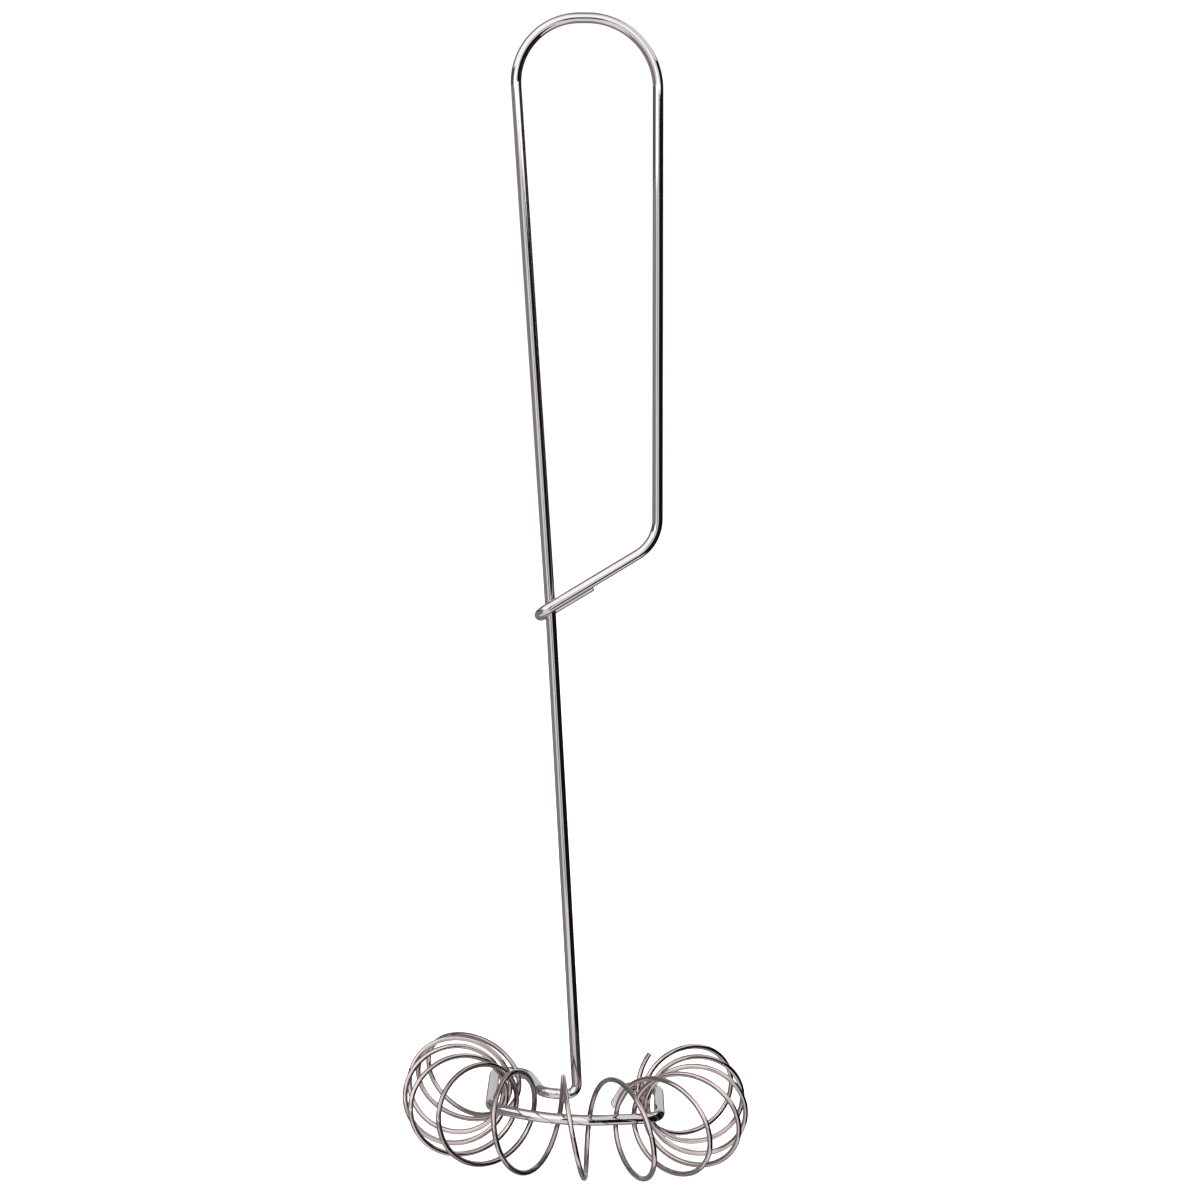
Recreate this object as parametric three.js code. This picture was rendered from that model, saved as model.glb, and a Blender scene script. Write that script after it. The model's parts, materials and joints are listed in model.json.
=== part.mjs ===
// Spiral whisk: one stout bent wire makes the hanging loop, the shaft and the open ring at its foot,
// and one thin wire coil is threaded on that ring.
// Millimetres, +Z up. The origin is the inside top of the loop, where the whisk hangs on a hook.
// X runs across the loop, and -Y is the open front of the ring.

import * as THREE from 'three';

const degrees = THREE.MathUtils.degToRad;

// Wire
const FRAME_WIRE = 2.5;
const COIL_WIRE = 1.2;
const RUNNING_GAP = 0.3;

// Handle loop and shaft
const LOOP_RADIUS = 16.2;
const LEG_DROP = 118.8;
const LEG_BEND_RADIUS = 9.5;
const DIAGONAL_SLOPE = degrees(30.8);
const SHAFT_DROP = 248.5;
const SHAFT_LEAN_ABOVE_HOOK = degrees(3.67);
const SHAFT_LEAN_BELOW_HOOK = degrees(3.09);
const SHAFT_BOW_RADIUS = 1200;

// Hook that closes the loop round the shaft
const HOOK_BEND_RADIUS = 2.6;
const TAIL_LENGTH = 10.7;
const TAIL_SAG = 1.05;

// Open ring at the foot of the shaft
const RING_ROLL = degrees(3.75);
const RING_TILT = degrees(1.5);
const RING_HALF_WIDTH = 19.4;
const RING_SPLAY = 0.3;
const RING_SHOULDER = 13;
const RING_SHOULDER_RADIUS = 8;
const RING_FRONT = 23.2;
const RING_FRONT_ASIDE = 4;
const RING_FRONT_RADIUS = 22.6;
const RING_FORWARD = 6.3;
const RING_ASIDE = 0.4;
const FOOT_BEND_RADIUS = 2.2;
const ARM_REACH = 7.6;
const ARM_BACK = 3.8;
const ARM_BEND_RADIUS = 4.2;
const ARM_TURN_BACK = 25.2;
const TURN_WIDTH = 7.7;
const FREE_TURN_BACK = 17.6;
const FREE_END_ASIDE = 9.4;
const FREE_END_FORWARD = 1;

// Coil: turns are counted from the one at the open front of the ring
const COIL_FIRST_TURN = -7.17;
const COIL_LAST_TURN = 6.62;
const COIL_HALF_HEIGHT = 10.7;
const COIL_RISE = 0.75;
const OUTER_REACH = 43.4;
const OUTER_OVAL = 2.4;
const OUTER_CORNERS = 1.7;
const INNER_CORNERS = 0.4;

// Fan of the turns round the ring
const TURN_PITCH = degrees(20.35);
const CROWDING_PERIOD = 13;
const END_CROWDING = degrees(-1.2);
const SIDE_CROWDING = degrees(1.4);
const FRONT_CROWDING = degrees(1.6);
const FAN_STOP = 5.75;
const FAN_EASE = 0.25;

// The coil's first turns: the second leans back, and the first has sprung inside it
const LEAN_TURN = -5.75;
const LEAN_EASE = 0.5;
const LEAN = degrees(10);
const SPRUNG_TURN = -6;
const SPRUNG_EASE = 0.5;
const SPRUNG_SWING = degrees(5.5);
const SPRUNG_SLACK = 2.4;
const FLAT_TURN = -4.6;
const FLAT_EASE = 1.3;
const FLATTENING = 0.95;

// The coil's last end stands up beside the ring
const STUB_TURN = 6.45;
const STUB_EASE = 0.25;
const STUB_SWING = degrees(10);

// Facets
const FRAME_SIDES = 12;
const COIL_SIDES = 6;
const COIL_STEPS_PER_TURN = 24;
const BEND_STEP = degrees(10);
const GAP_SAMPLES_PER_TURN = 96;
const SAME_PLACE = 0.001;

const steel = (color, roughness) => new THREE.MeshStandardMaterial({ color, roughness, metalness: 1 });

// A curve through stations that each hold a point and a direction, so that every bend gets the stations
// it needs and a straight run gets none between its ends.
class WirePath extends THREE.Curve {
  constructor(stations) {
    super();
    this.stations = stations;
  }

  getUtoTmapping(u) {
    return u;
  }

  getPoint(t, target = new THREE.Vector3()) {
    const place = t * (this.stations.length - 1);
    const index = Math.min(Math.floor(place + SAME_PLACE), this.stations.length - 2);
    const { point } = this.stations[index];
    return target.lerpVectors(point, this.stations[index + 1].point, place - index);
  }

  getTangent(t, target = new THREE.Vector3()) {
    const index = Math.round(t * (this.stations.length - 1));
    return target.copy(this.stations[index].direction);
  }
}

function heading(from, to) {
  return to.clone().sub(from).normalize();
}

// Straight runs between corners, with each inner corner rounded to its bend radius.
function bentWire(corners) {
  const stations = [];
  const add = (point, direction) => {
    const last = stations.at(-1);
    if (!last || last.point.distanceTo(point) > SAME_PLACE) stations.push({ point, direction });
  };
  add(corners[0].at, heading(corners[0].at, corners[1].at));
  for (let i = 1; i < corners.length - 1; i += 1) {
    const { at, radius } = corners[i];
    const into = heading(corners[i - 1].at, at);
    const out = heading(at, corners[i + 1].at);
    const turn = into.angleTo(out);
    const axis = into.clone().cross(out).normalize();
    const start = at.clone().addScaledVector(into, -radius * Math.tan(turn / 2));
    const spoke = into.clone().cross(axis).multiplyScalar(radius);
    const centre = start.clone().sub(spoke);
    const steps = Math.max(2, Math.ceil(turn / BEND_STEP));
    for (let step = 0; step <= steps; step += 1) {
      const angle = (turn * step) / steps;
      const point = centre.clone().add(spoke.clone().applyAxisAngle(axis, angle));
      add(point, into.clone().applyAxisAngle(axis, angle));
    }
  }
  const end = corners.at(-1).at;
  add(end, heading(corners.at(-2).at, end));
  return stations;
}

function wireMesh(name, stations, diameter, sides, material) {
  const rim = Array.from({ length: sides }, (_, side) => {
    const angle = (2 * Math.PI * side) / sides;
    return new THREE.Vector2(Math.cos(angle), Math.sin(angle)).multiplyScalar(diameter / 2);
  });
  const geometry = new THREE.ExtrudeGeometry(new THREE.Shape(rim), {
    steps: stations.length - 1,
    extrudePath: new WirePath(stations),
    bevelEnabled: false,
  });
  const mesh = new THREE.Mesh(geometry, material);
  mesh.name = name;
  return mesh;
}

// Handle: the loop stands in the XZ plane with its inside top at the origin.
const loopTop = FRAME_WIRE / 2;
const shaftTopCorner = new THREE.Vector3(
  -LOOP_RADIUS * Math.tan((Math.PI / 2 + SHAFT_LEAN_ABOVE_HOOK) / 2),
  0,
  loopTop,
);
const legTopCorner = new THREE.Vector3(LOOP_RADIUS, 0, loopTop);
const legFootCorner = new THREE.Vector3(LOOP_RADIUS, 0, -LEG_DROP);

const leaning = (lean) => new THREE.Vector3(Math.sin(lean), 0, -Math.cos(lean));
const shaftAbove = leaning(SHAFT_LEAN_ABOVE_HOOK);
const shaftBelow = leaning(SHAFT_LEAN_BELOW_HOOK);
const diagonal = new THREE.Vector3(-Math.cos(DIAGONAL_SLOPE), 0, -Math.sin(DIAGONAL_SLOPE));

// Where two lines of the XZ plane cross, each given by a point and a direction.
function crossing(point, direction, otherPoint, otherDirection) {
  const offset = otherPoint.clone().sub(point);
  const along = offset.x * otherDirection.z - offset.z * otherDirection.x;
  const spread = direction.x * otherDirection.z - direction.z * otherDirection.x;
  return point.clone().addScaledVector(direction, along / spread);
}

// The shaft bows slightly where the hook holds it.
const hookSeat = crossing(shaftTopCorner, shaftAbove, legFootCorner, diagonal);
const shaftFoot = hookSeat.clone().addScaledVector(shaftBelow, (SHAFT_DROP + hookSeat.z) / -shaftBelow.z);

// Hook: in front of the shaft, round its far side and back behind it. The diagonal crosses the shaft
// aslant, so the hook reaches further past it than its front and back legs stand off.
const hookStandoff = FRAME_WIRE + RUNNING_GAP;
const hookReach = hookStandoff / Math.sin(diagonal.angleTo(shaftAbove));
const diagonalLength = hookSeat.distanceTo(legFootCorner);
const hookFront = (hookStandoff * (diagonalLength + hookReach)) / diagonalLength;
const hookFrontCorner = hookSeat.clone().addScaledVector(diagonal, hookReach);
hookFrontCorner.y = -hookFront;
const sagging = new THREE.Vector3(-diagonal.z, 0, diagonal.x);
const hookBackCorner = hookFrontCorner.clone().addScaledVector(sagging, TAIL_SAG);
hookBackCorner.y = hookStandoff;
const tailEnd = hookBackCorner.clone().addScaledVector(diagonal, -(hookReach + TAIL_LENGTH));

// Head: a group at the centre of the ring, with the ring in its XY plane. Its right side hangs lower,
// and its front stands higher.
const head = new THREE.Group();
head.rotation.set(-RING_TILT, RING_ROLL, 0);
head.position.copy(new THREE.Vector3(-RING_ASIDE, -RING_FORWARD, 0).applyEuler(head.rotation)).add(shaftFoot);
head.updateMatrix();
const onRing = (x, y) => new THREE.Vector3(x, y, 0).applyMatrix4(head.matrix);

const backHalfWidth = RING_HALF_WIDTH + RING_SPLAY;
const armEnd = onRing(-ARM_REACH, ARM_BACK);
const armTurnInner = onRing(TURN_WIDTH - backHalfWidth, ARM_TURN_BACK);
const armTurnOuter = onRing(-backHalfWidth, ARM_TURN_BACK);
const leftShoulder = onRing(-RING_HALF_WIDTH, -RING_SHOULDER);
const ringFront = onRing(-RING_FRONT_ASIDE, -RING_FRONT);
const rightShoulder = onRing(RING_HALF_WIDTH, -RING_SHOULDER);
const freeTurnOuter = onRing(backHalfWidth, FREE_TURN_BACK);
const freeTurnInner = onRing(backHalfWidth - TURN_WIDTH, FREE_TURN_BACK);
const freeEnd = onRing(FREE_END_ASIDE, -FREE_END_FORWARD);

// The two bends of a turn back share its width, so they are as round as it allows.
function turnRadius(before, first, second, after) {
  const inset = (from, at, to) => Math.tan(heading(from, at).angleTo(heading(at, to)) / 2);
  return first.distanceTo(second) / (inset(before, first, second) + inset(first, second, after));
}

const armTurnRadius = turnRadius(armEnd, armTurnInner, armTurnOuter, leftShoulder);
const freeTurnRadius = turnRadius(rightShoulder, freeTurnOuter, freeTurnInner, freeEnd);

const frameStations = bentWire([
  { at: tailEnd },
  { at: hookBackCorner, radius: HOOK_BEND_RADIUS },
  { at: hookFrontCorner, radius: HOOK_BEND_RADIUS },
  { at: legFootCorner, radius: LEG_BEND_RADIUS },
  { at: legTopCorner, radius: LOOP_RADIUS },
  { at: shaftTopCorner, radius: LOOP_RADIUS },
  { at: hookSeat, radius: SHAFT_BOW_RADIUS },
  { at: shaftFoot, radius: FOOT_BEND_RADIUS },
  { at: armEnd, radius: ARM_BEND_RADIUS },
  { at: armTurnInner, radius: armTurnRadius },
  { at: armTurnOuter, radius: armTurnRadius },
  { at: leftShoulder, radius: RING_SHOULDER_RADIUS },
  { at: ringFront, radius: RING_FRONT_RADIUS },
  { at: rightShoulder, radius: RING_SHOULDER_RADIUS },
  { at: freeTurnOuter, radius: freeTurnRadius },
  { at: freeTurnInner, radius: freeTurnRadius },
  { at: freeEnd },
]);

// Coil: a helix bent round the ring. The inner side of every turn bears on the inside of the ring wire,
// and the turns fan outwards, open at the front and crowded at the sides.
const innerReach = RING_HALF_WIDTH - (FRAME_WIRE + COIL_WIRE) / 2 - RUNNING_GAP;
const { smoothstep } = THREE.MathUtils;

// Towards either end of the coil the fan stops opening, so the last turns lie close together.
function fanned(turn) {
  const past = Math.max(Math.abs(turn) - FAN_STOP, 0);
  const along = Math.min(Math.abs(turn), FAN_STOP) + FAN_EASE * (1 - Math.exp(-past / FAN_EASE));
  return Math.sign(turn) * along;
}

function coilBearing(turn) {
  const fan = fanned(turn);
  const phase = (2 * Math.PI * fan) / CROWDING_PERIOD;
  const crowding = END_CROWDING * Math.sin(phase)
    + SIDE_CROWDING * Math.sin(2 * phase)
    + FRONT_CROWDING * Math.sin(3 * phase);
  const lean = LEAN * smoothstep(LEAN_EASE - Math.abs(turn - LEAN_TURN), 0, LEAN_EASE);
  const swing = SPRUNG_SWING * smoothstep(SPRUNG_TURN - turn, 0, SPRUNG_EASE);
  const stub = STUB_SWING * smoothstep(turn - STUB_TURN, 0, STUB_EASE);
  return TURN_PITCH * fan + crowding - lean + swing + stub;
}

function coilPoint(turn) {
  const bearing = coilBearing(turn);
  const slack = SPRUNG_SLACK * smoothstep(SPRUNG_TURN - turn, 0, SPRUNG_EASE);
  const outer = OUTER_REACH + OUTER_OVAL * Math.cos(2 * bearing) - OUTER_CORNERS * Math.cos(4 * bearing);
  const inner = innerReach - INNER_CORNERS * Math.cos(4 * bearing) - slack;
  const halfHeight = COIL_HALF_HEIGHT - FLATTENING * smoothstep(FLAT_TURN - turn, 0, FLAT_EASE);
  const round = 2 * Math.PI * turn;
  const reach = (outer + inner) / 2 + ((outer - inner) / 2) * Math.cos(round);
  return new THREE.Vector3(
    reach * Math.sin(bearing),
    -reach * Math.cos(bearing),
    COIL_RISE - halfHeight * Math.sin(round),
  );
}

function coilStations() {
  const turns = COIL_LAST_TURN - COIL_FIRST_TURN;
  const steps = Math.round(turns * COIL_STEPS_PER_TURN);
  const nearby = 1 / GAP_SAMPLES_PER_TURN;
  const stations = [];
  for (let step = 0; step <= steps; step += 1) {
    const turn = COIL_FIRST_TURN + (turns * step) / steps;
    const direction = heading(coilPoint(turn - nearby), coilPoint(turn + nearby));
    stations.push({ point: coilPoint(turn), direction });
  }
  const straightEnd = ({ point, direction }, run) => ({
    point: point.clone().addScaledVector(direction, run),
    direction,
  });
  return [straightEnd(stations[0], -COIL_WIRE), ...stations, straightEnd(stations.at(-1), COIL_WIRE)];
}

// Least clear distance between parts of the coil that lie more than half a turn apart along it.
function leastCoilGap() {
  const count = Math.round((COIL_LAST_TURN - COIL_FIRST_TURN) * GAP_SAMPLES_PER_TURN);
  const points = Array.from({ length: count + 1 }, (_, i) =>
    coilPoint(COIL_FIRST_TURN + i / GAP_SAMPLES_PER_TURN));
  let least = Infinity;
  for (let i = 0; i < points.length; i += 1) {
    for (let j = i + GAP_SAMPLES_PER_TURN / 2; j < points.length; j += 1) {
      least = Math.min(least, points[i].distanceTo(points[j]));
    }
  }
  return least - COIL_WIRE;
}

console.log(`least gap of the coil to itself: ${leastCoilGap().toFixed(2)} mm`);

const frameWire = wireMesh('frame_wire', frameStations, FRAME_WIRE, FRAME_SIDES, steel(0xb5b0b0, 0.22));
const whiskCoil = wireMesh('whisk_coil', coilStations(), COIL_WIRE, COIL_SIDES, steel(0xa8a19e, 0.28));
head.add(whiskCoil);

const whisk = new THREE.Group();
whisk.add(frameWire, head);

export default whisk;
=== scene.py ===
"""Spiral whisk: smooth drawn-steel wires in place of the faceted ones, in a white studio.

Metres, +Z up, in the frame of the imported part: the origin is the inside top of the hanging loop.
"""

import json
import math

import bpy
from mathutils import Matrix, Vector


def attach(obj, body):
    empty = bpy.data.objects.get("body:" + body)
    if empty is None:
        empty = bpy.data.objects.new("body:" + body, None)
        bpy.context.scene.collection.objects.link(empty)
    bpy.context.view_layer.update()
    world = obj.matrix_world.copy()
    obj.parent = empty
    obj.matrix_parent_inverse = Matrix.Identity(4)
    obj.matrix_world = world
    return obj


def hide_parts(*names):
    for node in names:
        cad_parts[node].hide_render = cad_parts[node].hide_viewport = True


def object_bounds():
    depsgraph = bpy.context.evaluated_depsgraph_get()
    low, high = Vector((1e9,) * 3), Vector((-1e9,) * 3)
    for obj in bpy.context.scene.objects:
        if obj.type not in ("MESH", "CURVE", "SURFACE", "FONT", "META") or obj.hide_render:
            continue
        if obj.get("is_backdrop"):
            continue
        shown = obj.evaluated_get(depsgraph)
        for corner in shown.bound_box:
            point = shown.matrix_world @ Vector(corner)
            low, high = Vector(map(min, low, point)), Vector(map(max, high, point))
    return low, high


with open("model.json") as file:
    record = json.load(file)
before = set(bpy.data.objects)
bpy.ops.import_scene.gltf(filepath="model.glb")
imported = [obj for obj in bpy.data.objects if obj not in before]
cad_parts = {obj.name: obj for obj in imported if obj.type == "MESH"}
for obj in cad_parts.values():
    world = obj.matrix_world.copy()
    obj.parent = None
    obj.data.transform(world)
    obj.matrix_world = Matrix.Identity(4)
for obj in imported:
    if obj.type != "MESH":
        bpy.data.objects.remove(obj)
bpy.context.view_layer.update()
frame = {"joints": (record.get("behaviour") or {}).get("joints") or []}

MM = 0.001

# Wire
FRAME_WIRE = 2.5 * MM
COIL_WIRE = 1.2 * MM
RUNNING_GAP = 0.3 * MM

# Handle loop, bent a little tighter at its shoulder above the shaft, and the hook that closes it
LOOP_RADIUS = 16.2 * MM
LOOP_SHOULDER_RADIUS = 14.5 * MM
LEG_DROP = 118.8 * MM
LEG_BEND_RADIUS = 9.5 * MM
DIAGONAL_SLOPE = math.radians(30.8)
SHAFT_LEAN_ABOVE_HOOK = math.radians(3.67)
SHAFT_BOW_RADIUS = 1200 * MM
HOOK_BEND_RADIUS = 2.6 * MM
TAIL_LENGTH = 10.7 * MM
TAIL_SAG = 1.05 * MM

# Open ring at the foot of the shaft
RING_ROLL = math.radians(3.75)
RING_TILT = math.radians(1.5)
RING_HALF_WIDTH = 19.4 * MM
RING_SPLAY = 0.3 * MM
RING_SHOULDER = 13 * MM
RING_SHOULDER_RADIUS = 8 * MM
RING_FRONT = 23.2 * MM
RING_FRONT_ASIDE = 4 * MM
RING_FRONT_RADIUS = 22.6 * MM
RING_FORWARD = 6.3 * MM
RING_ASIDE = 0.4 * MM
FOOT_BEND_RADIUS = 2.2 * MM
ARM_REACH = 7.6 * MM
ARM_BACK = 3.8 * MM
ARM_BEND_RADIUS = 4.2 * MM
ARM_TURN_BACK = 25.2 * MM
TURN_WIDTH = 7.7 * MM
FREE_TURN_BACK = 17.6 * MM
FREE_END_ASIDE = 9.4 * MM
FREE_END_FORWARD = 1 * MM

# Coil: turns are counted from the one at the open front of the ring
COIL_FIRST_TURN = -7.17
COIL_LAST_TURN = 6.62
COIL_HALF_HEIGHT = 10.7 * MM
COIL_RISE = 0.75 * MM
OUTER_REACH = 43.4 * MM
OUTER_OVAL = 2.4 * MM
OUTER_CORNERS = 1.7 * MM
INNER_CORNERS = 0.4 * MM

# Fan of the turns round the ring
TURN_PITCH = math.radians(20.35)
CROWDING_PERIOD = 13
END_CROWDING = math.radians(-1.2)
SIDE_CROWDING = math.radians(1.4)
FRONT_CROWDING = math.radians(1.6)
FAN_STOP = 5.75
FAN_EASE = 0.25

# The coil's first turns: the second leans back, and the first has sprung inside it
LEAN_TURN = -5.75
LEAN_EASE = 0.5
LEAN = math.radians(10)
SPRUNG_TURN = -6
SPRUNG_EASE = 0.5
SPRUNG_SWING = math.radians(5.5)
SPRUNG_SLACK = 2.4 * MM
FLAT_TURN = -4.6
FLAT_EASE = 1.3
FLATTENING = 0.95 * MM

# The coil's last end stands up beside the ring
STUB_TURN = 6.45
STUB_EASE = 0.25
STUB_SWING = math.radians(10)

# Fineness of the swept wires
FRAME_SIDES = 40
COIL_SIDES = 20
COIL_STEPS_PER_TURN = 120
BEND_STEP = math.radians(3)
STRAIGHT_STEP = 1.5 * MM
SAME_PLACE = 0.001 * MM
SHARP_EDGE = math.radians(30)

# Small faults of real wire: bends flatten it, drawing leaves it a little out of round
BEND_FLATTENING = 0.08
BEND_EASING_PASSES = 4
OUT_OF_ROUND = 0.006
OUT_OF_ROUND_TWIST = 2.2
OUT_OF_ROUND_LENGTH = 31 * MM
FRAME_END_CHAMFER = 0.22 * MM
COIL_END_CHAMFER = 0.1 * MM

# Map that holds a whole wire as strips, side by side
STRIP_MAP = "OFBake"
FRAME_STRIPS = 9
COIL_STRIPS = 15
STRIP_MARGIN = 0.03

# Steel: what its noises and bends add to tone, dullness and relief
NOISE_LOW = 0.3
NOISE_HIGH = 0.7
NOISE_ROUGHNESS = 0.6
LINE_TONE = 0.45
CLOUD_TONE = 0.55
STAIN_CLEARING = 1.7
LINE_DULLNESS = 0.015
CLOUD_DULLNESS = 0.03
BEND_DULLNESS = 0.22
LINE_DEPTH = 0.002 * MM
RELIEF_STRENGTH = 0.06

# Camera of the photograph, which is 1200 pixels square
CAMERA_PLACE = Vector((2.9, -650, -83.7)) * MM
CAMERA_PITCH = math.radians(4.26)
FOCAL_PIXELS = 2810
IMAGE_PIXELS = 1200
SENSOR = 36
NEAREST_SEEN = 0.01
FARTHEST_SEEN = 200

# Studio
WHITE = (1, 1, 1, 1)
FLOOR_PAINT = (0.92, 0.92, 0.92, 1)
FLOOR_GAP = 1 * MM
FLOOR_SIZE = 60
ROOM_BRIGHTNESS = 1.12
CEILING_LIGHT_SIZE = 4
CEILING_LIGHT_POWER = 130
CEILING_LIGHT_HEIGHT = 3
CARD_DISTANCE = 12
CARD_STEP = math.radians(4)
CAMERA_CARD_GAP = 10 * MM

# Edges that the studio's cards share, in degrees, and the brightness of the cards that are alike
WINDOW_LEFT = -50
WINDOW_SPLIT = -3
HIGH_WINDOW_RIGHT = 24
HIGH_WINDOW_LEFT = -85
BACK_RIGHT = 150
BACK_LEFT = 210
LEFT_SILL = 4.6
RIGHT_SILL = 6.6
WINDOW_TOP = 9
LEFT_WALL_TOP = 18
BACK_LIGHT_LOW = -2
BACK_LIGHT_TOP = 16
WALL_FOOT = -45
CEILING_EDGE = 62
CEILING_MIDDLE = 80
UNDER_EDGE = -78
WINDOW_BRIGHTNESS = 2.4
HIGH_WINDOW_BRIGHTNESS = 1.7
BLACK_BRIGHTNESS = 0.01

# Cards all round that the steel reflects: bearings, elevations and brightness
REFLECTION_CARDS = {
    "left_window": ((WINDOW_LEFT, WINDOW_SPLIT), (LEFT_SILL, WINDOW_TOP), WINDOW_BRIGHTNESS),
    "right_window": ((WINDOW_SPLIT, 45), (RIGHT_SILL, WINDOW_TOP), WINDOW_BRIGHTNESS),
    "high_window": ((WINDOW_LEFT, HIGH_WINDOW_RIGHT), (WINDOW_TOP, CEILING_EDGE), HIGH_WINDOW_BRIGHTNESS),
    "upper_left_window": (
        (HIGH_WINDOW_LEFT, WINDOW_LEFT), (LEFT_WALL_TOP, CEILING_EDGE), HIGH_WINDOW_BRIGHTNESS
    ),
    "right_flag": ((HIGH_WINDOW_RIGHT, BACK_RIGHT), (WALL_FOOT, RIGHT_SILL), BLACK_BRIGHTNESS),
    "high_right_flag": ((57, BACK_RIGHT), (RIGHT_SILL, 28), BLACK_BRIGHTNESS),
    "left_grey": ((-BACK_RIGHT, -41), (WALL_FOOT, LEFT_SILL), 0.34),
    "high_left_grey": ((-BACK_RIGHT, WINDOW_LEFT), (LEFT_SILL, LEFT_WALL_TOP), 0.12),
    "upper_left_grey": ((-155, HIGH_WINDOW_LEFT), (LEFT_WALL_TOP, CEILING_EDGE), 0.28),
    "back_light": ((BACK_RIGHT, BACK_LEFT), (BACK_LIGHT_LOW, BACK_LIGHT_TOP), 0.75),
    "back_low_grey": ((BACK_RIGHT, BACK_LEFT), (WALL_FOOT, BACK_LIGHT_LOW), 0.25),
    "back_high_grey": ((BACK_RIGHT, 205), (BACK_LIGHT_TOP, CEILING_EDGE), 0.35),
    "top_back_grey": ((100, 260), (CEILING_EDGE, CEILING_MIDDLE), 0.3),
    "top_grey": ((-180, 180), (CEILING_MIDDLE, 90), 0.35),
    "under_back_grey": ((90, 270), (UNDER_EDGE, WALL_FOOT), 0.3),
    "under_grey": ((-180, 180), (-90, UNDER_EDGE), 0.3),
}

# Flat cards just behind the camera: lower left corner, upper right corner in millimetres, and brightness
CAMERA_CARDS = {
    "camera_flag": ((-50, -150), (50, 20), 0.03),
    "low_camera_flag": ((-75, -320), (75, -150), 0.03),
    "front_right_flag": ((290, -130), (780, 50), 0.02),
}

# The ring's own centre, which the coil's joint turns about, and its slant
ring_centre = Vector(frame["joints"][0]["pos_m"])
ring_turn = Matrix.Rotation(-RING_TILT, 3, "X") @ Matrix.Rotation(RING_ROLL, 3, "Y")


class Station:
    """One place on a wire's middle line: point, direction, and the bend there as a vector to its centre.
    The bend's length is the wire's radius over the bend's radius."""

    def __init__(self, point, direction, bend):
        self.point = point
        self.direction = direction.normalized()
        self.bend = bend


def bent_wire(corners, wire_radius):
    """Stations along straight runs between corners, each inner corner rounded to its bend radius."""
    stations = []
    here = corners[0][0]
    for (before, _), (corner, radius), (after, _) in zip(corners, corners[1:], corners[2:]):
        into = (corner - before).normalized()
        out = (after - corner).normalized()
        turn = into.angle(out)
        start = corner - into * radius * math.tan(turn / 2)
        inward = (out - into * into.dot(out)).normalized()
        centre = start + inward * radius
        stations += straight_run(here, start)
        steps = max(2, math.ceil(turn / BEND_STEP))
        for step in range(steps):
            angle = turn * step / steps
            spoke = into * math.sin(angle) - inward * math.cos(angle)
            along = into * math.cos(angle) + inward * math.sin(angle)
            stations.append(Station(centre + spoke * radius, along, -spoke * wire_radius / radius))
        here = centre + (into * math.sin(turn) - inward * math.cos(turn)) * radius
    end = corners[-1][0]
    return stations + straight_run(here, end) + [Station(end, end - here, Vector())]


def straight_run(start, end):
    """Evenly spaced stations from start up to, and without, end. Bends that meet have no run between."""
    run = end - start
    if run.length < SAME_PLACE:
        return []
    steps = max(1, round(run.length / STRAIGHT_STEP))
    return [Station(start + run * step / steps, run, Vector()) for step in range(steps)]


def ease_bends(stations):
    """Spreads each bend's flattening a little way into the straight runs beside it."""
    for _ in range(BEND_EASING_PASSES):
        bends = [station.bend for station in stations]
        for station, before, after in zip(stations[1:-1], bends, bends[2:]):
            station.bend = (before + station.bend * 2 + after) / 4


def on_ring(x, y, z=0.0):
    """A point given along the ring's own axes, from its centre."""
    return ring_centre + ring_turn @ Vector((x, y, z))


def crossing(point, direction, other_point, other_direction):
    """Where two lines of the XZ plane cross."""
    offset = other_point - point
    along = offset.x * other_direction.z - offset.z * other_direction.x
    spread = direction.x * other_direction.z - direction.z * other_direction.x
    return point + direction * (along / spread)


def turn_radius(before, first, second, after):
    """Radius of the two bends of a turn back, which share its width and are as round as it allows."""
    def inset(start, corner, end):
        return math.tan((corner - start).angle(end - corner) / 2)
    return (second - first).length / (inset(before, first, second) + inset(first, second, after))


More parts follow.
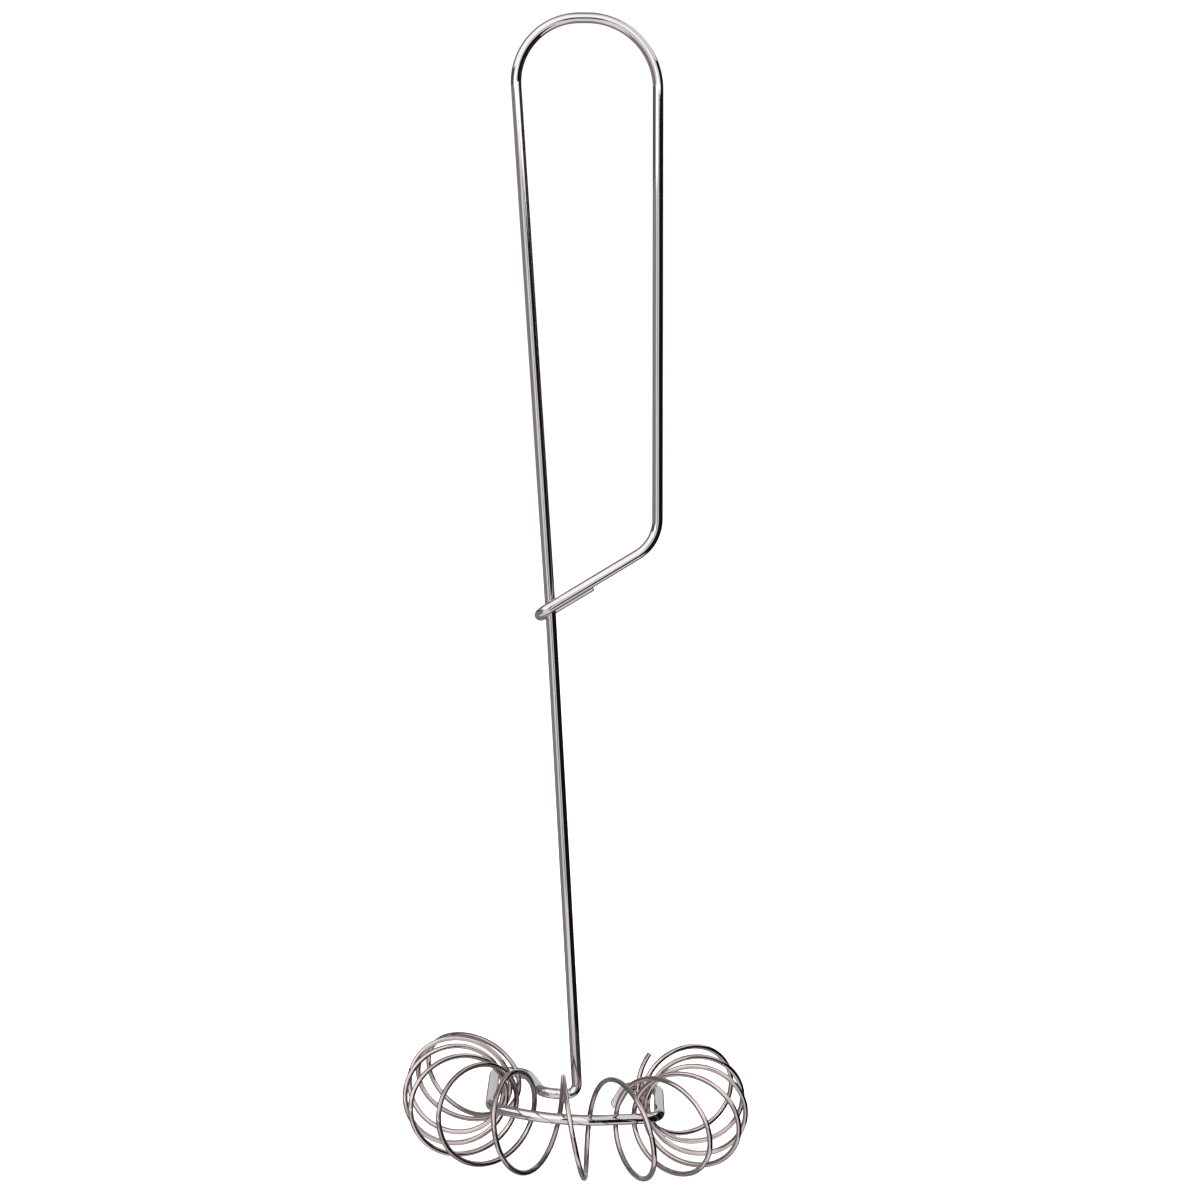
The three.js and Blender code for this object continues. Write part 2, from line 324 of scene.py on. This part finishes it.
def frame_corners():
    """Corners and bend radii of the stout wire, from its hooked tail to its free end inside the ring."""
    loop_top = FRAME_WIRE / 2
    shaft_top_reach = LOOP_RADIUS * math.tan((math.pi / 2 + SHAFT_LEAN_ABOVE_HOOK) / 2)
    shaft_top = Vector((-shaft_top_reach, 0, loop_top))
    leg_top = Vector((LOOP_RADIUS, 0, loop_top))
    leg_foot = Vector((LOOP_RADIUS, 0, -LEG_DROP))
    shaft_above = Vector((math.sin(SHAFT_LEAN_ABOVE_HOOK), 0, -math.cos(SHAFT_LEAN_ABOVE_HOOK)))
    diagonal = Vector((-math.cos(DIAGONAL_SLOPE), 0, -math.sin(DIAGONAL_SLOPE)))
    hook_seat = crossing(shaft_top, shaft_above, leg_foot, diagonal)
    shaft_foot = on_ring(RING_ASIDE, RING_FORWARD)

    standoff = FRAME_WIRE + RUNNING_GAP
    reach = standoff / math.sin(diagonal.angle(shaft_above))
    diagonal_length = (leg_foot - hook_seat).length
    hook_front = hook_seat + diagonal * reach
    hook_front.y = -standoff * (diagonal_length + reach) / diagonal_length
    sagging = Vector((-diagonal.z, 0, diagonal.x))
    hook_back = hook_front + sagging * TAIL_SAG
    hook_back.y = standoff
    tail_end = hook_back - diagonal * (reach + TAIL_LENGTH)

    back_half_width = RING_HALF_WIDTH + RING_SPLAY
    arm_end = on_ring(-ARM_REACH, ARM_BACK)
    arm_turn_inner = on_ring(TURN_WIDTH - back_half_width, ARM_TURN_BACK)
    arm_turn_outer = on_ring(-back_half_width, ARM_TURN_BACK)
    left_shoulder = on_ring(-RING_HALF_WIDTH, -RING_SHOULDER)
    ring_front = on_ring(-RING_FRONT_ASIDE, -RING_FRONT)
    right_shoulder = on_ring(RING_HALF_WIDTH, -RING_SHOULDER)
    free_turn_outer = on_ring(back_half_width, FREE_TURN_BACK)
    free_turn_inner = on_ring(back_half_width - TURN_WIDTH, FREE_TURN_BACK)
    free_end = on_ring(FREE_END_ASIDE, -FREE_END_FORWARD)
    arm_turn = turn_radius(arm_end, arm_turn_inner, arm_turn_outer, left_shoulder)
    free_turn = turn_radius(right_shoulder, free_turn_outer, free_turn_inner, free_end)
    return [
        (tail_end, 0),
        (hook_back, HOOK_BEND_RADIUS),
        (hook_front, HOOK_BEND_RADIUS),
        (leg_foot, LEG_BEND_RADIUS),
        (leg_top, LOOP_RADIUS),
        (shaft_top, LOOP_SHOULDER_RADIUS),
        (hook_seat, SHAFT_BOW_RADIUS),
        (shaft_foot, FOOT_BEND_RADIUS),
        (arm_end, ARM_BEND_RADIUS),
        (arm_turn_inner, arm_turn),
        (arm_turn_outer, arm_turn),
        (left_shoulder, RING_SHOULDER_RADIUS),
        (ring_front, RING_FRONT_RADIUS),
        (right_shoulder, RING_SHOULDER_RADIUS),
        (free_turn_outer, free_turn),
        (free_turn_inner, free_turn),
        (free_end, 0),
    ]


def smoothstep(share):
    """Eases in and out as share goes from 0 to 1, and stays level beyond."""
    share = min(max(share, 0.0), 1.0)
    return share * share * (3 - 2 * share)


def fanned(turn):
    """Towards either end of the coil the fan stops opening, so the last turns lie close together."""
    past = max(abs(turn) - FAN_STOP, 0)
    along = min(abs(turn), FAN_STOP) + FAN_EASE * (1 - math.exp(-past / FAN_EASE))
    return math.copysign(along, turn)


def coil_bearing(turn):
    """Bearing of the coil's wire round the ring, from the open front."""
    fan = fanned(turn)
    phase = 2 * math.pi * fan / CROWDING_PERIOD
    crowding = (
        END_CROWDING * math.sin(phase)
        + SIDE_CROWDING * math.sin(2 * phase)
        + FRONT_CROWDING * math.sin(3 * phase)
    )
    lean = LEAN * smoothstep(1 - abs(turn - LEAN_TURN) / LEAN_EASE)
    swing = SPRUNG_SWING * smoothstep((SPRUNG_TURN - turn) / SPRUNG_EASE)
    stub = STUB_SWING * smoothstep((turn - STUB_TURN) / STUB_EASE)
    return TURN_PITCH * fan + crowding - lean + swing + stub


def coil_point(turn):
    """The middle of the coil's wire: a helix bent round the ring, each turn close to the ring's inside."""
    bearing = coil_bearing(turn)
    slack = SPRUNG_SLACK * smoothstep((SPRUNG_TURN - turn) / SPRUNG_EASE)
    inner_reach = RING_HALF_WIDTH - (FRAME_WIRE + COIL_WIRE) / 2 - RUNNING_GAP
    outer = OUTER_REACH + OUTER_OVAL * math.cos(2 * bearing) - OUTER_CORNERS * math.cos(4 * bearing)
    inner = inner_reach - INNER_CORNERS * math.cos(4 * bearing) - slack
    half_height = COIL_HALF_HEIGHT - FLATTENING * smoothstep((FLAT_TURN - turn) / FLAT_EASE)
    reach = (outer + inner) / 2 + (outer - inner) / 2 * math.cos(2 * math.pi * turn)
    height = COIL_RISE - half_height * math.sin(2 * math.pi * turn)
    return on_ring(reach * math.sin(bearing), -reach * math.cos(bearing), height)


def coil_stations():
    """Stations along the coil, with a straight end of one wire diameter at each side."""
    turns = COIL_LAST_TURN - COIL_FIRST_TURN
    steps = round(turns * COIL_STEPS_PER_TURN)
    nearby = 0.5 / COIL_STEPS_PER_TURN
    stations = []
    for step in range(steps + 1):
        turn = COIL_FIRST_TURN + turns * step / steps
        direction = coil_point(turn + nearby) - coil_point(turn - nearby)
        stations.append(Station(coil_point(turn), direction, Vector()))
    first = stations[0]
    last = stations[-1]
    before = Station(first.point - first.direction * COIL_WIRE, first.direction, Vector())
    beyond = Station(last.point + last.direction * COIL_WIRE, last.direction, Vector())
    return [before, *stations, beyond]


def lengths_along(stations):
    """Distance of each station from the wire's start."""
    lengths = [0.0]
    for before, after in zip(stations, stations[1:]):
        lengths.append(lengths[-1] + (after.point - before.point).length)
    return lengths


def section_radius(wire_radius, station, spoke, angle, length):
    """Radius of the wire's section towards a spoke: flattened in a bend, and a little out of round."""
    flattened = 0.0
    if station.bend.length > 0:
        towards = spoke.dot(station.bend.normalized())
        flattened = BEND_FLATTENING * station.bend.length * (2 * towards * towards - 1)
    twist = OUT_OF_ROUND_TWIST * math.sin(length / OUT_OF_ROUND_LENGTH)
    return wire_radius * (1 - flattened + OUT_OF_ROUND * math.cos(2 * (angle - twist)))


def wire_rings(stations, diameter, sides, chamfer):
    """Rings round the wire, each with its station, its length along the wire, and its spokes and radii.
    The first and last ring are the chamfered edges of the cut ends."""
    lengths = lengths_along(stations)
    side = stations[0].direction.orthogonal()
    rings = []
    for station, length in zip(stations, lengths):
        side = (side - station.direction * side.dot(station.direction)).normalized()
        other = station.direction.cross(side)
        ring = []
        for step in range(sides):
            angle = 2 * math.pi * step / sides
            spoke = side * math.cos(angle) + other * math.sin(angle)
            ring.append((spoke, section_radius(diameter / 2, station, spoke, angle, length)))
        rings.append((station, length, ring))

    def cut(at, shrink):
        station, length, ring = rings[at]
        inset = Station(station.point, station.direction, station.bend)
        return inset, length, [(spoke, radius - shrink) for spoke, radius in ring]

    first_edge = cut(0, chamfer)
    last_edge = cut(-1, chamfer)
    rings[0][0].point = rings[0][0].point + rings[0][0].direction * chamfer
    rings[-1][0].point = rings[-1][0].point - rings[-1][0].direction * chamfer
    return [first_edge, *rings, last_edge]


def strip_place(along, across, strip, strips):
    """A place on the map, from how far it is along and across its strip, inside the strip's margin."""
    inside = 1 - 2 * STRIP_MARGIN
    return STRIP_MARGIN + inside * along, (strip + STRIP_MARGIN + inside * across) / strips


def side_faces(rings, sides, strips):
    """Faces between the rings, and the place of each face's corners on the map."""
    faces = []
    places = []
    total = rings[-1][1]
    for index in range(len(rings) - 1):
        start = rings[index][1] / total * strips
        end = rings[index + 1][1] / total * strips
        strip = min(int((start + end) / 2), strips - 1)
        for step in range(sides):
            corners = ((index, step), (index, step + 1), (index + 1, step + 1), (index + 1, step))
            faces.append([at * sides + round_step % sides for at, round_step in corners])
            for at, round_step in corners:
                along = (start if at == index else end) - strip
                places.append(strip_place(along, round_step / sides, strip, strips))
    return faces, places


def end_faces(ring_count, sides):
    """Faces of the two cut ends, and their corners' places in the free margin at two corners of the map."""
    last = (ring_count - 1) * sides
    faces = [list(range(sides))[::-1], list(range(last, last + sides))]
    reach = STRIP_MARGIN / 3
    places = []
    for middle in (STRIP_MARGIN / 2, 1 - STRIP_MARGIN / 2):
        for step in range(sides):
            angle = 2 * math.pi * step / sides
            places.append((middle + reach * math.cos(angle), middle + reach * math.sin(angle)))
    return faces, places


def wire_mesh(name, stations, diameter, sides, chamfer, strips):
    """A smooth tube with chamfered cut ends. It carries each point's place on the wire before bending,
    how sharply the wire bends there, and a map of the whole length in strips."""
    rings = wire_rings(stations, diameter, sides, chamfer)
    points = []
    unbent = []
    strain = []
    for station, length, ring in rings:
        for step, (spoke, radius) in enumerate(ring):
            angle = 2 * math.pi * step / sides
            points.append(station.point + spoke * radius)
            unbent.append((radius * math.cos(angle), radius * math.sin(angle), length))
            strain.append(station.bend.length)
    faces, places = side_faces(rings, sides, strips)
    cut_faces, cut_places = end_faces(len(rings), sides)
    faces += cut_faces
    places += cut_places

    mesh = bpy.data.meshes.new(name)
    mesh.from_pydata(points, [], faces)
    mesh.polygons.foreach_set("use_smooth", [len(face) == 4 for face in faces])
    strip_map = mesh.uv_layers.new(name=STRIP_MAP)
    strip_map.uv.foreach_set("vector", [value for place in places for value in place])
    place_on_wire = mesh.attributes.new("unbent", "FLOAT_VECTOR", "POINT")
    place_on_wire.data.foreach_set("vector", [value for place in unbent for value in place])
    mesh.attributes.new("strain", "FLOAT", "POINT").data.foreach_set("value", strain)
    mesh.set_sharp_from_angle(angle=SHARP_EDGE)
    mesh.update()
    piece = bpy.data.objects.new(name, mesh)
    bpy.context.scene.collection.objects.link(piece)
    return piece


class Nodes:
    """Short ways to add and join the nodes of one material."""

    def __init__(self, name):
        self.material = bpy.data.materials.new(name)
        self.material.use_nodes = True
        self.tree = self.material.node_tree
        self.tree.nodes.clear()

    def add(self, kind, inputs=None, **settings):
        """Adds a node. Each of its inputs is given as a value or as the socket that feeds it."""
        node = self.tree.nodes.new(kind)
        for setting, value in settings.items():
            setattr(node, setting, value)
        for socket, value in (inputs or {}).items():
            if isinstance(value, bpy.types.NodeSocket):
                self.tree.links.new(value, node.inputs[socket])
            else:
                node.inputs[socket].default_value = value
        return node

    def spread(self, value, low, high):
        """Takes a noise's usual range to low and high."""
        node = self.add("ShaderNodeMapRange", {
            "Value": value,
            "From Min": NOISE_LOW,
            "From Max": NOISE_HIGH,
            "To Min": low,
            "To Max": high,
        })
        return node.outputs["Result"]

    def sum(self, first, second):
        return self.add("ShaderNodeMath", {0: first, 1: second}, operation="ADD").outputs["Value"]

    def product(self, first, second):
        return self.add("ShaderNodeMath", {0: first, 1: second}, operation="MULTIPLY").outputs["Value"]

    def streaks(self, place, fineness, stretch, detail):
        """Noise drawn out along the wire: fineness is in streaks per metre across it."""
        scale = (fineness, fineness, fineness / stretch)
        scaled = self.add("ShaderNodeMapping", {"Vector": place, "Scale": scale})
        noise = self.add("ShaderNodeTexNoise", {
            "Vector": scaled.outputs["Vector"],
            "Scale": 1.0,
            "Detail": detail,
            "Roughness": NOISE_ROUGHNESS,
        })
        return noise.outputs["Fac"]


def drawn_steel(name, dark, light, stain, gloss):
    """Bright drawn wire: lines along its length, some stained dark, soft cloudy smudges, and a duller grain
    in sharp bends."""
    nodes = Nodes(name)
    place = nodes.add("ShaderNodeAttribute", attribute_name="unbent").outputs["Vector"]
    strain = nodes.add("ShaderNodeAttribute", attribute_name="strain").outputs["Fac"]
    lines = nodes.streaks(place, fineness=7000, stretch=70, detail=4)
    clouds = nodes.streaks(place, fineness=160, stretch=2.5, detail=3)
    grain = nodes.streaks(place, fineness=9000, stretch=1.4, detail=2)
    bands = nodes.streaks(place, fineness=1300, stretch=60, detail=2)

    tone = nodes.sum(nodes.spread(lines, 0.0, LINE_TONE), nodes.spread(clouds, 0.0, CLOUD_TONE))
    bright = nodes.add("ShaderNodeMix", {"Factor": tone, "A": dark, "B": light}, data_type="RGBA")
    colour = nodes.add("ShaderNodeMix", {
        "Factor": nodes.spread(bands, 0.0, STAIN_CLEARING),
        "A": stain,
        "B": bright.outputs["Result"],
    }, data_type="RGBA")
    cloud_dullness = nodes.spread(clouds, gloss, gloss + CLOUD_DULLNESS)
    line_dullness = nodes.spread(lines, 0.0, LINE_DULLNESS)
    dullness = nodes.sum(cloud_dullness, line_dullness)
    bend_dullness = nodes.product(strain, BEND_DULLNESS)
    bump = nodes.add("ShaderNodeBump", {
        "Height": nodes.sum(lines, nodes.product(strain, grain)),
        "Strength": RELIEF_STRENGTH,
        "Distance": LINE_DEPTH,
    })
    steel = nodes.add("ShaderNodeBsdfPrincipled", {
        "Base Color": colour.outputs["Result"],
        "Metallic": 1.0,
        "Roughness": nodes.sum(dullness, bend_dullness),
        "Normal": bump.outputs["Normal"],
    })
    nodes.add("ShaderNodeOutputMaterial", {"Surface": steel.outputs["BSDF"]})
    return nodes.material


def plain_glow(name, brightness):
    """An even white glow that only reflected rays find, which keeps the picture clean."""
    nodes = Nodes(name)
    glow = nodes.add("ShaderNodeEmission", {"Color": WHITE, "Strength": brightness})
    nodes.add("ShaderNodeOutputMaterial", {"Surface": glow.outputs["Emission"]})
    nodes.material.cycles.emission_sampling = "NONE"
    return nodes.material


def hang_card(name, points, faces, brightness):
    """Makes a card that glows evenly and is seen in the steel alone."""
    mesh = bpy.data.meshes.new(name)
    mesh.from_pydata(points, [], faces)
    mesh.materials.append(plain_glow(name, brightness))
    card = bpy.data.objects.new(name, mesh)
    bpy.context.scene.collection.objects.link(card)
    card.visible_camera = False
    card.visible_diffuse = False
    card.visible_shadow = False
    card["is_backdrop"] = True


def reflection_card(name, bearings, elevations, brightness):
    """A card of the studio, part of a wide sphere round the whisk. Bearings count from the front, to the
    right as the camera sees it, and like the elevations they are in degrees."""
    low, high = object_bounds()
    middle = (low + high) / 2
    columns = math.ceil(math.radians(bearings[1] - bearings[0]) / CARD_STEP)
    rows = math.ceil(math.radians(elevations[1] - elevations[0]) / CARD_STEP)
    points = []
    for row in range(rows + 1):
        elevation = math.radians(elevations[0] + (elevations[1] - elevations[0]) * row / rows)
        for column in range(columns + 1):
            bearing = math.radians(bearings[0] + (bearings[1] - bearings[0]) * column / columns)
            way = Vector((
                math.sin(bearing) * math.cos(elevation),
                -math.cos(bearing) * math.cos(elevation),
                math.sin(elevation),
            ))
            points.append(middle + way * CARD_DISTANCE)
    across = columns + 1
    faces = []
    for row in range(rows):
        for column in range(columns):
            corner = row * across + column
            faces.append((corner, corner + 1, corner + across + 1, corner + across))
    hang_card(name, points, faces, brightness)


def camera_card(name, low, high, brightness):
    """A flat card in the plane just behind the camera. Its lower left and upper right corners are given
    in millimetres."""
    behind = CAMERA_PLACE.y - CAMERA_CARD_GAP
    left, bottom = (value * MM for value in low)
    right, top = (value * MM for value in high)
    points = [(left, behind, bottom), (right, behind, bottom), (right, behind, top), (left, behind, top)]
    hang_card(name, points, [(0, 1, 2, 3)], brightness)


def make_floor():
    """A wide pale floor just under the coil."""
    low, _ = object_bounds()
    height = low.z - FLOOR_GAP
    reach = FLOOR_SIZE / 2
    ways = ((-1, -1), (1, -1), (1, 1), (-1, 1))
    corners = [(reach * x, reach * y, height) for x, y in ways]
    mesh = bpy.data.meshes.new("floor")
    mesh.from_pydata(corners, [], [(0, 1, 2, 3)])
    nodes = Nodes("floor")
    paint = nodes.add("ShaderNodeBsdfDiffuse", {"Color": FLOOR_PAINT})
    nodes.add("ShaderNodeOutputMaterial", {"Surface": paint.outputs["BSDF"]})
    mesh.materials.append(nodes.material)
    floor = bpy.data.objects.new("floor", mesh)
    bpy.context.scene.collection.objects.link(floor)
    floor.visible_glossy = False
    floor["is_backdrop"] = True


def make_light():
    """An even white room, with one broad soft light above for the floor."""
    world = bpy.data.worlds.new("white_room")
    world.use_nodes = True
    background = world.node_tree.nodes["Background"]
    background.inputs["Color"].default_value = WHITE
    background.inputs["Strength"].default_value = ROOM_BRIGHTNESS
    bpy.context.scene.world = world
    lamp = bpy.data.lights.new("ceiling_light", "AREA")
    lamp.size = CEILING_LIGHT_SIZE
    lamp.energy = CEILING_LIGHT_POWER
    ceiling_light = bpy.data.objects.new("ceiling_light", lamp)
    ceiling_light.location = (0, 0, CEILING_LIGHT_HEIGHT)
    ceiling_light.visible_glossy = False
    bpy.context.scene.collection.objects.link(ceiling_light)


def make_camera():
    """The camera of the photograph, level across and pitched a little downwards."""
    lens = bpy.data.cameras.new("camera")
    lens.sensor_width = SENSOR
    lens.lens = SENSOR * FOCAL_PIXELS / IMAGE_PIXELS
    lens.clip_start = NEAREST_SEEN
    lens.clip_end = FARTHEST_SEEN
    camera = bpy.data.objects.new("camera", lens)
    camera.location = CAMERA_PLACE
    camera.rotation_euler = (math.pi / 2 - CAMERA_PITCH, 0, 0)
    bpy.context.scene.collection.objects.link(camera)
    bpy.context.scene.camera = camera


# Stout wire
frame_stations = bent_wire(frame_corners(), FRAME_WIRE / 2)
ease_bends(frame_stations)
stout_wire = wire_mesh(
    "stout_wire", frame_stations, FRAME_WIRE, FRAME_SIDES, FRAME_END_CHAMFER, FRAME_STRIPS
)
stout_wire.data.materials.append(
    drawn_steel(
        "frame_steel",
        dark=(0.53, 0.493, 0.498, 1),
        light=(0.63, 0.59, 0.596, 1),
        stain=(0.5, 0.46, 0.465, 1),
        gloss=0.02,
    )
)
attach(stout_wire, "frame")
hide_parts("frame_wire")

# Coil
fanned_coil = wire_mesh(
    "fanned_coil", coil_stations(), COIL_WIRE, COIL_SIDES, COIL_END_CHAMFER, COIL_STRIPS
)
fanned_coil.data.materials.append(
    drawn_steel(
        "coil_steel",
        dark=(0.47, 0.4, 0.393, 1),
        light=(0.59, 0.505, 0.497, 1),
        stain=(0.26, 0.22, 0.215, 1),
        gloss=0.06,
    )
)
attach(fanned_coil, "coil")
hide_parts("whisk_coil")

# Studio
make_camera()
make_light()
make_floor()
for card_name, card in REFLECTION_CARDS.items():
    reflection_card(card_name, *card)
for card_name, card in CAMERA_CARDS.items():
    camera_card(card_name, *card)

bpy.context.scene.view_settings.view_transform = "Standard"
